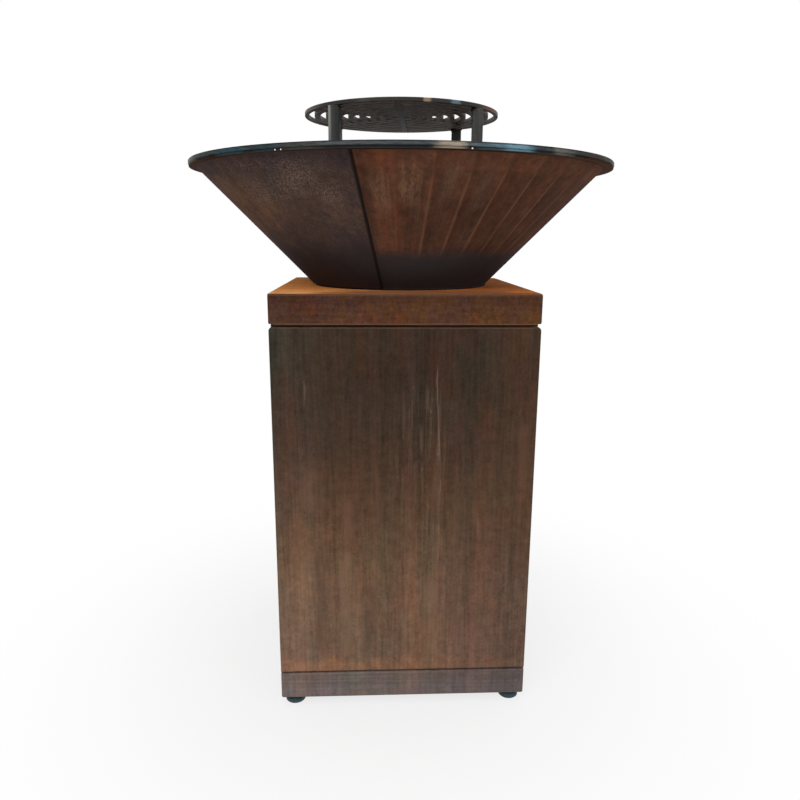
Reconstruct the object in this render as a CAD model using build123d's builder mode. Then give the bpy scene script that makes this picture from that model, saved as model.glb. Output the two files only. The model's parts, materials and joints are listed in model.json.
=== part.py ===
from build123d import *
from math import cos, hypot, radians, sin
import os

os.makedirs("parts", exist_ok=True)

# A garden brazier of weathered steel, in millimetres. A square pedestal with a door holds firewood,
# a conical fire bowl stands on it, a thick steel cooking ring lies on the bowl's rim, and a round
# grate on four legs stands over the fire. +Z is up, -Y is the front with the door, and the origin
# is on the floor under the middle of the pedestal.

# Pedestal
box_width = 472.0
plinth_height = 51.0
panel_height = 669.5
cap_height = 53.5
cap_gap = 1.0
bend_radius = 5.0
top_bend_radius = 4.5
plinth_bend_radius = 3.0
cap_sheet = 3.0
cap_corner_radius = 7.0
plinth_sheet = 2.5
panel_sheet = 2.0
back_sheet = 2.0
roof_sheet = 2.5
collar_sheet = 2.5
roof_inset = 5.0
collar_inset = 16.0
jamb_width = 30.0
back_panel_inset = 12.0
drain_diameter = 60.0

# Door
door_sheet = 2.0
door_depth = 25.0
door_gap_top = 1.0
door_gap_bottom = 2.5
door_gap_rear = 4.0
door_corner_radius = 7.0
hinge_inset = 10.0
hinge_pin_diameter = 6.0
hinge_pin_reach = 12.0
hinge_clearance = 0.05
bush_diameter = 11.0
bush_height = 13.0
washer_diameter = 12.0

# Door catch
catch_width = 16.0
catch_height = 46.0
catch_body_height = 30.0
catch_depth = 10.0
catch_ear = 2.5
strike_gap = 0.3
strike_sheet = 2.0
strike_width = 18.0
strike_height = 40.0

# Screws of the back panel
screw_count = 4
screw_diameter = 5.0
screw_length = 9.0
screw_head_diameter = 9.5
screw_head_height = 2.7
screw_head_chamfer = 0.9
screw_socket = 3.0
screw_socket_depth = 1.6
screw_play = 0.2
screw_end_inset = 60.0

# Levelling feet
foot_pad_diameter = 38.0
foot_pad_height = 15.0
foot_pad_side = 9.0
foot_pad_chamfer = 1.5
foot_boss_diameter = 20.0
foot_pad_clearance = 3.5
foot_show = 4.0
foot_socket_depth = 10.0
stud_diameter = 8.0
stud_length = 45.0
thread_clearance = 0.05
stud_collar_height = 5.0
nut_flats = 13.0
nut_height = 6.5
gusset_size = 60.0
gusset_sheet = 4.0
gusset_rise = 17.0

# Fire bowl
bowl_base_diameter = 340.0
bowl_wall_height = 212.5
bowl_sheet = 3.0
bowl_floor_sheet = 3.0
bowl_floor_setback = 1.5
bowl_drain_diameter = 20.0
lap_gap = 0.1
lap_angle = 4.0
seam_angle = 256.4
crease_count = 19
rim_ring_thickness = 3.0
rim_ring_width = 27.0
rim_ring_setback = 1.0
rim_overhang = 18.0
spigot_diameter = 76.0
spigot_wall = 3.0
spigot_length = 30.0
spigot_clearance = 1.5

# Cooking plate
plate_diameter = 800.0
plate_thickness = 8.0
plate_bevel = 2.0
plate_edge_break = 0.8
fire_hole_diameter = 300.0
fin_thickness = 5.0
fin_width = 36.0
fin_height = 20.0
fin_shoulder = 5.0
fin_clearance = 1.5

# Grill
grate_diameter = 368.0
grate_thickness = 7.0
grate_edge_break = 0.6
grate_hub_diameter = 34.8
grate_slot = 11.2
grate_slot_count = 8
grate_rim = 7.0
spoke_width = 10.0
spoke_count = 6
spoke_angle = 25.0
leg_height = 88.0
leg_tube = 20.0
leg_wall = 2.0
leg_corner_radius = 2.5
leg_inset = 6.0
leg_turn = -8.0
grill_turn = 1.6

# One overrun carries every cut past the faces that it goes through.
overrun = 1.0

# Levels, from the floor up
plinth_bottom = foot_pad_height + foot_show
plinth_top = plinth_bottom + plinth_height
roof_bottom = plinth_top + panel_height
roof_top = roof_bottom + roof_sheet
cap_bottom = roof_top + cap_gap
cap_top = cap_bottom + cap_height
bowl_bottom = cap_top + bowl_floor_sheet
bowl_top = bowl_bottom + bowl_wall_height
plate_bottom = bowl_top + rim_ring_thickness
plate_top = plate_bottom + plate_thickness
grate_bottom = plate_top + leg_height
door_bottom = plinth_top + door_gap_bottom
door_top = roof_bottom - door_gap_top
gusset_bottom = plinth_bottom + gusset_rise
gusset_top = gusset_bottom + gusset_sheet

# Places in plan
box_half = box_width / 2
panel_front = -(box_half - door_depth - door_gap_rear)
hinge_x = box_half - hinge_inset
hinge_y = -(box_half - hinge_inset)
catch_x = -(box_half - jamb_width / 2)
catch_z = (door_bottom + door_top) / 2
foot_inset = plinth_sheet + foot_pad_clearance + foot_pad_diameter / 2
foot_place = box_half - foot_inset
corners = {
    "front_left": (-1, -1),
    "front_right": (1, -1),
    "rear_left": (-1, 1),
    "rear_right": (1, 1),
}


def finish(part, label):
    """Name a finished piece and write it to its own file."""
    part.label = label
    export_step(part, f"parts/{label}.step")


# Plinth: a tray folded from one sheet, open below, whose top is the floor of the wood store.
with BuildPart() as plinth:
    with BuildSketch(Plane.XY.offset(plinth_bottom)):
        RectangleRounded(box_width, box_width, bend_radius)
    extrude(amount=plinth_height)
    fillet(plinth.faces().sort_by(Axis.Z)[-1].edges(), plinth_bend_radius)
    offset(amount=-plinth_sheet, openings=plinth.faces().sort_by(Axis.Z)[0])
    with Locations((hinge_x, hinge_y, plinth_top)):
        Hole(hinge_pin_diameter / 2)
finish(plinth.part, "plinth")

# Levelling feet: in each corner a gusset, welded to both walls, carries a weld nut. The threaded
# stud stands in a rubber pad, runs up through the gusset and is held by a lock nut from below.
for place, (side_x, side_y) in corners.items():
    foot_x = side_x * foot_place
    foot_y = side_y * foot_place
    wall = box_half - plinth_sheet
    clear = wall - bend_radius
    end = wall - gusset_size
    outline = [(wall, end), (wall, clear), (clear, wall), (end, wall)]

    with BuildPart() as gusset:
        with BuildSketch(Plane.XY.offset(gusset_bottom)):
            with BuildLine():
                Polyline(*[(side_x * x, side_y * y) for x, y in outline], close=True)
            make_face()
            with Locations((foot_x, foot_y)):
                Circle(stud_diameter / 2 + thread_clearance, mode=Mode.SUBTRACT)
        extrude(amount=gusset_sheet)
    finish(gusset.part, f"foot_gusset_{place}")

    foot_plane = Plane(origin=(foot_x, foot_y, 0), x_dir=(1, 0, 0), z_dir=(0, -1, 0))
    with BuildPart() as pad:
        with BuildSketch(foot_plane):
            with BuildLine():
                Polyline(
                    (0, 0),
                    (foot_pad_diameter / 2 - foot_pad_chamfer, 0),
                    (foot_pad_diameter / 2, foot_pad_chamfer),
                    (foot_pad_diameter / 2, foot_pad_side),
                    (foot_boss_diameter / 2, foot_pad_height),
                    (0, foot_pad_height),
                    close=True,
                )
            make_face()
        revolve(axis=Axis((foot_x, foot_y, 0), (0, 0, 1)))
        with Locations((foot_x, foot_y, foot_pad_height)):
            Hole(stud_diameter / 2, foot_socket_depth)
    finish(pad.part, f"foot_pad_{place}")

    with BuildPart() as stud:
        with BuildSketch(Plane.XY.offset(foot_pad_height - foot_socket_depth)):
            with Locations((foot_x, foot_y)):
                Circle(stud_diameter / 2)
        extrude(amount=foot_socket_depth + stud_length)
        with BuildSketch(Plane.XY.offset(foot_pad_height)):
            with Locations((foot_x, foot_y)):
                RegularPolygon(nut_flats / 2, 6, major_radius=False)
        extrude(amount=stud_collar_height)
    finish(stud.part, f"foot_stud_{place}")

foot_places = [(x * foot_place, y * foot_place) for x, y in corners.values()]
for label, level in (("foot_weld_nuts", gusset_top), ("foot_lock_nuts", gusset_bottom - nut_height)):
    with BuildPart() as nuts:
        with BuildSketch(Plane.XY.offset(level)):
            with Locations(*foot_places):
                RegularPolygon(nut_flats / 2, 6, major_radius=False)
                Circle(stud_diameter / 2 + thread_clearance, mode=Mode.SUBTRACT)
        extrude(amount=nut_height)
    finish(nuts.part, label)

# Side panels: channels whose flanges make the door jambs in front and carry the back panel behind.
screw_x = box_half - jamb_width / 2 - back_panel_inset / 2
screw_span = panel_height - 2 * screw_end_inset
screw_levels = [plinth_top + screw_end_inset + screw_span * i / (screw_count - 1) for i in range(screw_count)]
for side, label in ((-1, "side_panel_left"), (1, "side_panel_right")):
    with BuildPart() as side_panel:
        with BuildSketch(Plane.XY.offset(plinth_top)) as channel:
            with Locations((side * (box_half - jamb_width / 2), (panel_front + box_half) / 2)):
                Rectangle(jamb_width, box_half - panel_front)
            fillet(channel.vertices().sort_by(Axis.X)[::side][-2:], bend_radius)
        extrude(amount=panel_height)
        ends = side_panel.faces().sort_by(Axis.Z)
        inner = side_panel.faces().sort_by(Axis.X)[::side][0]
        offset(amount=-panel_sheet, openings=[ends[0], ends[-1], inner])
        with BuildSketch(Plane.XZ.offset(-box_half - overrun)):
            with Locations(*[(side * screw_x, level) for level in screw_levels]):
                Circle(screw_diameter / 2 + screw_play)
        extrude(amount=panel_sheet + 2 * overrun, mode=Mode.SUBTRACT)
    finish(side_panel.part, label)

# Back panel: a flat sheet inside the rear flanges, held by screws from outside.
screw_places = [(side * screw_x, level) for side in (-1, 1) for level in screw_levels]
with BuildPart() as back_panel:
    with BuildSketch(Plane.XZ.offset(-(box_half - panel_sheet))):
        with Locations((0, (plinth_top + roof_bottom) / 2)):
            Rectangle(box_width - 2 * back_panel_inset, panel_height)
        with Locations(*screw_places):
            Circle(screw_diameter / 2 + screw_play, mode=Mode.SUBTRACT)
    extrude(amount=back_sheet)
finish(back_panel.part, "back_panel")

with BuildPart() as back_panel_screws:
    with BuildSketch(Plane.XZ.offset(-box_half)):
        with Locations(*screw_places):
            Circle(screw_head_diameter / 2)
    extrude(amount=-screw_head_height)
    chamfer(back_panel_screws.edges().group_by(Axis.Y)[-1], screw_head_chamfer)
    with BuildSketch(Plane.XZ.offset(-box_half - screw_head_height)):
        with Locations(*screw_places):
            RegularPolygon(screw_socket / 2, 6, major_radius=False)
    extrude(amount=screw_socket_depth, mode=Mode.SUBTRACT)
    with BuildSketch(Plane.XZ.offset(-box_half)):
        with Locations(*screw_places):
            Circle(screw_diameter / 2)
    extrude(amount=screw_length)
finish(back_panel_screws.part, "back_panel_screws")

# Roof of the wood store: a plate on the panels, a little smaller than the box, with a drain.
with BuildPart() as roof_plate:
    with BuildSketch(Plane.XY.offset(roof_bottom)):
        RectangleRounded(box_width - 2 * roof_inset, box_width - 2 * roof_inset, bend_radius)
        Circle(drain_diameter / 2, mode=Mode.SUBTRACT)
        with Locations((hinge_x, hinge_y)):
            Circle(hinge_pin_diameter / 2, mode=Mode.SUBTRACT)
    extrude(amount=roof_sheet)
finish(roof_plate.part, "roof_plate")

# Collar: a folded square ring on the roof that carries the cap.
with BuildPart() as cap_collar:
    with BuildSketch(Plane.XY.offset(roof_top)):
        RectangleRounded(box_width - 2 * collar_inset, box_width - 2 * collar_inset, bend_radius)
        offset(amount=-collar_sheet, mode=Mode.SUBTRACT)
    extrude(amount=cap_top - cap_sheet - roof_top)
finish(cap_collar.part, "cap_collar")

# Cap: a tray folded downwards, with soft bends and a hole that takes the bowl's spigot. The lower
# ends of its four corners are rounded off, as a profile seen across each diagonal.
corner_reach = (box_half - bend_radius) * hypot(1, 1) + bend_radius
with BuildPart() as cap:
    with BuildSketch(Plane.XY.offset(cap_bottom)):
        RectangleRounded(box_width, box_width, bend_radius)
    extrude(amount=cap_height)
    fillet(cap.faces().sort_by(Axis.Z)[-1].edges(), top_bend_radius)
    offset(amount=-cap_sheet, openings=cap.faces().sort_by(Axis.Z)[0])
    with Locations((0, 0, cap_top)):
        Hole(spigot_diameter / 2 + spigot_clearance)
    for angle in (45, 135):
        diagonal_plane = Plane(
            origin=(0, 0, cap_bottom + cap_height / 2),
            x_dir=(cos(radians(angle)), sin(radians(angle)), 0),
            z_dir=(sin(radians(angle)), -cos(radians(angle)), 0),
        )
        with BuildSketch(diagonal_plane) as corner_profile:
            Rectangle(2 * corner_reach, cap_height)
            fillet(corner_profile.vertices().group_by(Axis.Y)[0], cap_corner_radius)
        extrude(amount=corner_reach, both=True, mode=Mode.INTERSECT)
finish(cap.part, "cap")

# Door: a tray folded back on all four sides, with rounded top corners, over the whole front.
with BuildPart() as door_panel:
    with BuildSketch(Plane.XZ.offset(box_half - door_depth)) as door_outline:
        with Locations((0, (door_bottom + door_top) / 2)):
            Rectangle(box_width, door_top - door_bottom)
        fillet(door_outline.vertices().group_by(Axis.Y)[-1], door_corner_radius)
    extrude(amount=door_depth)
    fillet(door_panel.faces().sort_by(Axis.Y)[0].edges(), top_bend_radius)
    offset(amount=-door_sheet, openings=door_panel.faces().sort_by(Axis.Y)[-1])
    with Locations((hinge_x, hinge_y, door_top)):
        Hole(bush_diameter / 2)
finish(door_panel.part, "door_panel")

# Pivot hinge: a pin in the roof and one in the plinth, a bush in each end of the door, and a
# washer on the lower pin that carries the door.
for label, low, high in (
    ("hinge_pin_top", door_top - hinge_pin_reach, roof_top),
    ("hinge_pin_bottom", plinth_top - plinth_sheet, door_bottom + hinge_pin_reach),
):
    with BuildPart() as hinge_pin:
        with BuildSketch(Plane.XY.offset(low)):
            with Locations((hinge_x, hinge_y)):
                Circle(hinge_pin_diameter / 2)
        extrude(amount=high - low)
    finish(hinge_pin.part, label)

bore = hinge_pin_diameter / 2 + hinge_clearance
for label, low in (("door_bush_top", door_top - bush_height), ("door_bush_bottom", door_bottom)):
    with BuildPart() as door_bush:
        with BuildSketch(Plane.XY.offset(low)):
            with Locations((hinge_x, hinge_y)):
                Circle(bush_diameter / 2)
                Circle(bore, mode=Mode.SUBTRACT)
        extrude(amount=bush_height)
    finish(door_bush.part, label)

with BuildPart() as hinge_washer:
    with BuildSketch(Plane.XY.offset(plinth_top)):
        with Locations((hinge_x, hinge_y)):
            Circle(washer_diameter / 2)
            Circle(hinge_pin_diameter / 2, mode=Mode.SUBTRACT)
    extrude(amount=door_gap_bottom)
finish(hinge_washer.part, "hinge_washer")

# Catch: a magnet block on the left jamb, and a folded strike welded inside the door.
with BuildPart() as catch_magnet:
    with BuildSketch(Plane.XZ.offset(-panel_front)):
        with Locations((catch_x, catch_z)):
            RectangleRounded(catch_width, catch_height, catch_ear)
    extrude(amount=catch_ear)
    with BuildSketch(Plane.XZ.offset(-panel_front)):
        with Locations((catch_x, catch_z)):
            Rectangle(catch_width, catch_body_height)
    extrude(amount=catch_depth)
finish(catch_magnet.part, "catch_magnet")

strike_back = panel_front - catch_depth - strike_gap
strike_front = -(box_half - door_sheet)
with BuildPart() as strike_bracket:
    with BuildSketch(Plane.YZ.offset(catch_x - strike_width / 2)):
        with Locations(((strike_front + strike_back) / 2, catch_z)):
            Rectangle(strike_back - strike_front, strike_height)
        with Locations(((strike_front + strike_back - strike_sheet) / 2, catch_z)):
            Rectangle(
                strike_back - strike_sheet - strike_front,
                strike_height - 2 * strike_sheet,
                mode=Mode.SUBTRACT,
            )
    extrude(amount=strike_width)
finish(strike_bracket.part, "strike_bracket")

# Fire bowl: a cone of two sheets. The right one is formed by bumping in a press brake, so it has
# flat facets between straight creases; the left one is rolled smooth and laps over it at both seams.
crease_step = 180 / crease_count
facet_share = cos(radians(crease_step / 2))
crease_base_radius = bowl_base_diameter / 2
rim_ring_radius = plate_diameter / 2 - rim_ring_setback
crease_rim_radius = rim_ring_radius - rim_overhang
bowl_flare = (crease_rim_radius - crease_base_radius) / bowl_wall_height
wall_width = bowl_sheet * hypot(bowl_flare, 1)


def crease_ring(radius):
    """Outline of the creased sheet at one level: its outer corners, then its inner ones."""
    inside = radius - wall_width / facet_share
    angles = [seam_angle - lap_angle] + [seam_angle + crease_step * i for i in range(crease_count + 1)]
    outer = [(radius * cos(radians(a)), radius * sin(radians(a))) for a in angles]
    inner = [(inside * cos(radians(a)), inside * sin(radians(a))) for a in reversed(angles)]
    return outer + inner


with BuildPart() as bowl_sheet_creased:
    for level, radius in ((bowl_bottom, crease_base_radius), (bowl_top, crease_rim_radius)):
        with BuildSketch(Plane.XY.offset(level)):
            with BuildLine():
                Polyline(*crease_ring(radius), close=True)
            make_face()
    loft(ruled=True)
finish(bowl_sheet_creased.part, "bowl_sheet_creased")

lap_start = seam_angle - 180 - lap_angle
seam_plane = Plane(
    origin=(0, 0, 0),
    x_dir=(cos(radians(lap_start)), sin(radians(lap_start)), 0),
    z_dir=(sin(radians(lap_start)), -cos(radians(lap_start)), 0),
)
with BuildPart() as bowl_sheet_smooth:
    with BuildSketch(seam_plane):
        with BuildLine():
            Polyline(
                (crease_base_radius + lap_gap, bowl_bottom),
                (crease_base_radius + lap_gap + wall_width, bowl_bottom),
                (crease_rim_radius + lap_gap + wall_width, bowl_top),
                (crease_rim_radius + lap_gap, bowl_top),
                close=True,
            )
        make_face()
    revolve(axis=Axis.Z, revolution_arc=180 + lap_angle)
finish(bowl_sheet_smooth.part, "bowl_sheet_smooth")

with BuildPart() as bowl_floor:
    with BuildSketch(Plane.XY.offset(cap_top)):
        Circle(crease_base_radius - bowl_floor_setback)
        Circle(bowl_drain_diameter / 2, mode=Mode.SUBTRACT)
    extrude(amount=bowl_floor_sheet)
finish(bowl_floor.part, "bowl_floor")

with BuildPart() as bowl_spigot:
    with BuildSketch(Plane.XY.offset(cap_top - spigot_length)):
        Circle(spigot_diameter / 2)
        Circle(spigot_diameter / 2 - spigot_wall, mode=Mode.SUBTRACT)
    extrude(amount=spigot_length)
finish(bowl_spigot.part, "bowl_spigot")

with BuildPart() as bowl_rim_ring:
    with BuildSketch(Plane.XY.offset(bowl_top)):
        Circle(rim_ring_radius)
        Circle(rim_ring_radius - rim_ring_width, mode=Mode.SUBTRACT)
    extrude(amount=rim_ring_thickness)
finish(bowl_rim_ring.part, "bowl_rim_ring")

# Cooking plate: a thick ring round the fire hole, centred in the bowl by four fins under it.
with BuildPart() as cooking_plate:
    with BuildSketch(Plane.XY.offset(plate_bottom)):
        Circle(plate_diameter / 2)
        Circle(fire_hole_diameter / 2, mode=Mode.SUBTRACT)
    extrude(amount=plate_thickness)
    chamfer(cooking_plate.edges().group_by(Axis.Z)[-1].sort_by(SortBy.LENGTH)[-1], plate_bevel)
    chamfer(cooking_plate.edges().group_by(Axis.Z)[-1].sort_by(SortBy.LENGTH)[0], plate_edge_break)
    chamfer(cooking_plate.edges().group_by(Axis.Z)[0], plate_edge_break)
finish(cooking_plate.part, "cooking_plate")

fin_outer = rim_ring_radius - rim_ring_width - fin_clearance
fin_inner = fin_outer - fin_width
fin_slope_run = (fin_height - fin_shoulder) * bowl_flare
fins = {"right": 0, "rear": 90, "left": 180, "front": 270}
for place, angle in fins.items():
    fin_plane = Plane(
        origin=(0, 0, plate_bottom),
        x_dir=(cos(radians(angle)), sin(radians(angle)), 0),
        z_dir=(sin(radians(angle)), -cos(radians(angle)), 0),
    )
    with BuildPart() as plate_fin:
        with BuildSketch(fin_plane):
            with BuildLine():
                Polyline(
                    (fin_inner, 0),
                    (fin_outer, 0),
                    (fin_outer, -fin_shoulder),
                    (fin_outer - fin_slope_run, -fin_height),
                    (fin_inner, -fin_height),
                    close=True,
                )
            make_face()
        extrude(amount=fin_thickness / 2, both=True)
    finish(plate_fin.part, f"plate_fin_{place}")

# Grill: a round plate cut with concentric slots between spokes, on four legs of square tube that
# stand out a little past its edge. It stands turned a little on the cooking plate.
grate_radius = grate_diameter / 2
slot_first = grate_hub_diameter / 2 + grate_slot / 2
slot_last = grate_radius - grate_rim - grate_slot / 2
slot_pitch = (slot_last - slot_first) / (grate_slot_count - 1)
with BuildPart() as grill_grate:
    with BuildSketch(Plane.XY.offset(grate_bottom)):
        Circle(grate_radius)
        for i in reversed(range(grate_slot_count)):
            Circle(slot_first + slot_pitch * i + grate_slot / 2, mode=Mode.SUBTRACT)
            Circle(slot_first + slot_pitch * i - grate_slot / 2)
        with PolarLocations(0, spoke_count, start_angle=spoke_angle):
            with Locations(((grate_radius - grate_rim / 2) / 2, 0)):
                Rectangle(grate_radius - grate_rim / 2, spoke_width)
    extrude(amount=grate_thickness)
    rims = grill_grate.edges().filter_by(GeomType.CIRCLE).sort_by(SortBy.LENGTH)
    chamfer(rims[-2:], grate_edge_break)
finish(grill_grate.part, "grill_grate")

leg_reach = grate_radius - leg_inset
legs = {"rear_right": 45, "rear_left": 135, "front_left": 225, "front_right": 315}
for place, angle in legs.items():
    leg_angle = radians(angle + grill_turn)
    leg_plane = Plane(
        origin=(leg_reach * cos(leg_angle), leg_reach * sin(leg_angle), plate_top),
        x_dir=(cos(radians(leg_turn)), sin(radians(leg_turn)), 0),
        z_dir=(0, 0, 1),
    )
    with BuildPart() as grill_leg:
        with BuildSketch(leg_plane):
            RectangleRounded(leg_tube, leg_tube, leg_corner_radius)
            offset(amount=-leg_wall, mode=Mode.SUBTRACT)
        extrude(amount=leg_height)
    finish(grill_leg.part, f"grill_leg_{place}")
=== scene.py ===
"""Looks of a garden brazier: a rusted steel pedestal, a conical fire bowl, a thick cooking plate and a grate.

Lengths are in metres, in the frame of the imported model: +Z up, -Y the front with the door.
"""
import json
import math
import bmesh
import bpy
import numpy as np
from mathutils import Matrix, Vector


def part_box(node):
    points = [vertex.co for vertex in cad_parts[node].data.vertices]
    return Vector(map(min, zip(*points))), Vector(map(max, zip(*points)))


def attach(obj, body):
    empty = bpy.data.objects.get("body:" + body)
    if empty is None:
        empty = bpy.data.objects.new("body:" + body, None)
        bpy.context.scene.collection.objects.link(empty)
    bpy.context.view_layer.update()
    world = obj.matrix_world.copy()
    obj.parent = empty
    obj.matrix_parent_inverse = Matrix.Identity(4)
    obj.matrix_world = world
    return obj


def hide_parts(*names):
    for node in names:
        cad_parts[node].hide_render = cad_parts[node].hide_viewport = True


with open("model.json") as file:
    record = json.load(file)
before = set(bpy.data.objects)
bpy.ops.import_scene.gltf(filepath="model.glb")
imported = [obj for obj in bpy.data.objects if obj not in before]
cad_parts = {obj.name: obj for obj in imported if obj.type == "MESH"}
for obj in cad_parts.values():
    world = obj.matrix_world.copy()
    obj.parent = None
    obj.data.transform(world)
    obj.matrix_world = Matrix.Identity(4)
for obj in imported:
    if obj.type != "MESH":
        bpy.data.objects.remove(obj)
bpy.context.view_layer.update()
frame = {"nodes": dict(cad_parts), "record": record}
nodes = frame["nodes"]
MM = 0.001
TURN = 2 * math.pi


def low(node):
    """Lowest corner of a CAD node."""
    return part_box(node)[0]


def high(node):
    """Highest corner of a CAD node."""
    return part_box(node)[1]


PLATE_RADIUS = high("cooking_plate").x
PLATE_LOW = low("cooking_plate").z
PLATE_HIGH = high("cooking_plate").z
RING_RADIUS = high("bowl_rim_ring").x
RING_LOW = low("bowl_rim_ring").z
BOWL_LOW = low("bowl_sheet_creased").z
BOWL_HIGH = high("bowl_sheet_creased").z
BOX_HALF = high("cap").x
FRONT = -BOX_HALF
CAP_LOW = low("cap").z
CAP_HIGH = high("cap").z
DOOR_LOW = low("door_panel").z
DOOR_HIGH = high("door_panel").z
PLINTH_LOW = low("plinth").z
PLINTH_HIGH = high("plinth").z
GRATE_LOW = low("grill_grate").z
GRATE_RADIUS = high("grill_grate").x

# The bowl's two sheets, as they were rolled and bent
SHEET = 3 * MM
SEAM = math.radians(256.4)
LAP = math.radians(4)
LAP_GAP = 0.1 * MM
CREASES = 19
CREASE_STEP = math.pi / CREASES
FOOT_RADIUS = 170 * MM
MOUTH_RADIUS = 381 * MM
FLARE = (MOUTH_RADIUS - FOOT_RADIUS) / (BOWL_HIGH - BOWL_LOW)
WALL = SHEET * math.hypot(FLARE, 1)


# Surfaces

def piece(name, rows, body, material, closed=False, sharp=None):
    """One piece from rows of rings of points, put on its body and material.

    Each row is an array of the shape (rings, points, 3), and each ring is a closed loop, joined to the
    next one by quads. closed joins the last ring to the first; otherwise a face fills each end. Edges
    where the faces turn by more than sharp are left hard.
    """
    points, faces = [], []
    for rings in rows:
        count, around = rings.shape[:2]
        index = np.arange(count * around).reshape(count, around) + len(points)
        here, above = (index, np.roll(index, -1, 0)) if closed else (index[:-1], index[1:])
        quads = np.stack([here, np.roll(here, -1, 1), np.roll(above, -1, 1), above], -1)
        faces += quads.reshape(-1, 4).tolist()
        if not closed:
            faces += [index[0, ::-1].tolist(), index[-1].tolist()]
        points += rings.reshape(-1, 3).tolist()
    mesh = bpy.data.meshes.new(name)
    mesh.from_pydata(points, [], faces)
    whole = bmesh.new()
    whole.from_mesh(mesh)
    bmesh.ops.recalc_face_normals(whole, faces=whole.faces)
    if sharp is not None:
        for edge in whole.edges:
            if edge.is_manifold and edge.calc_face_angle() > sharp:
                edge.smooth = False
    whole.to_mesh(mesh)
    whole.free()
    mesh.polygons.foreach_set("use_smooth", [True] * len(mesh.polygons))
    mesh.materials.append(material)
    made = bpy.data.objects.new(name, mesh)
    bpy.context.scene.collection.objects.link(made)
    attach(made, body)
    return made


def rounded(corners, radii, steps=3, hold=0.25):
    """A closed profile with its corners rounded.

    Each corner becomes an arc, given as a curve of second degree between two points that lie the
    radius away along the sides, with one more point a share of the radius outside each end.
    """
    points = np.asarray(corners, float)
    back = np.roll(points, 1, 0) - points
    front = np.roll(points, -1, 0) - points
    back /= np.linalg.norm(back, axis=1)[:, None]
    front /= np.linalg.norm(front, axis=1)[:, None]
    reach = np.asarray(radii, float)[:, None]
    start = points + back * reach
    end = points + front * reach
    t = np.linspace(0, 1, steps)[None, :, None]
    arcs = (1 - t) ** 2 * start[:, None] + 2 * t * (1 - t) * points[:, None] + t ** 2 * end[:, None]
    before = (points + back * reach * (1 + hold))[:, None]
    after = (points + front * reach * (1 + hold))[:, None]
    return np.concatenate([before, arcs, after], 1).reshape(-1, 2)


def turned(profile, steps):
    """Rings of a turned form: each point of the profile (radius, height) goes once round the axis."""
    angle = np.linspace(0, TURN, steps, endpoint=False)[:, None]
    radius = profile[None, :, 0]
    height = np.broadcast_to(profile[None, :, 1], (steps, len(profile)))
    return np.stack([radius * np.cos(angle), radius * np.sin(angle), height], -1)


def arc(radius, height, start, end, count):
    """Points of an arc round the axis."""
    angle = np.linspace(start, end, count)
    return np.stack([radius * np.cos(angle), radius * np.sin(angle), np.full(count, height)], -1)


def bead(path, radius, ripple=0.14, pitch=2.2 * MM, sides=9, closed=False):
    """Rings of a weld bead: a circle carried along a level path, whose radius swells in scallops.

    The radius is the base radius times one plus the ripple times the absolute sine of the run of the
    path over the pitch, and it runs out to nothing at the ends of an open path.
    """
    step = np.roll(path, -1, 0) - path
    if not closed:
        step[-1] = step[-2]
    length = np.linalg.norm(step, axis=1)
    ahead = step / length[:, None]
    side = np.cross(ahead, np.array([0.0, 0.0, 1.0]))
    side /= np.linalg.norm(side, axis=1)[:, None]
    lift = np.cross(side, ahead)
    run = np.concatenate([[0], np.cumsum(length[:-1])])
    swell = radius * (1 + ripple * np.abs(np.sin(math.pi * run / pitch)))
    if not closed:
        to_end = np.minimum(run, run[-1] - run) / (1.5 * radius)
        swell = swell * np.sqrt(np.clip(to_end, 0.02, 1))
    around = np.linspace(0, TURN, sides, endpoint=False)[None, :, None]
    ring = np.cos(around) * side[:, None] + np.sin(around) * lift[:, None]
    return path[:, None] + ring * swell[:, None, None]


# Shader nodes

def linear(color):
    """Three numbers from 0 to 255, as on a screen, turned into the shader's own; an output stays as it is."""
    if not isinstance(color, tuple):
        return color
    share = np.asarray(color, float) / 255
    value = np.where(share <= 0.04045, share / 12.92, ((share + 0.055) / 1.055) ** 2.4)
    return (*value.tolist(), 1.0)


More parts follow.
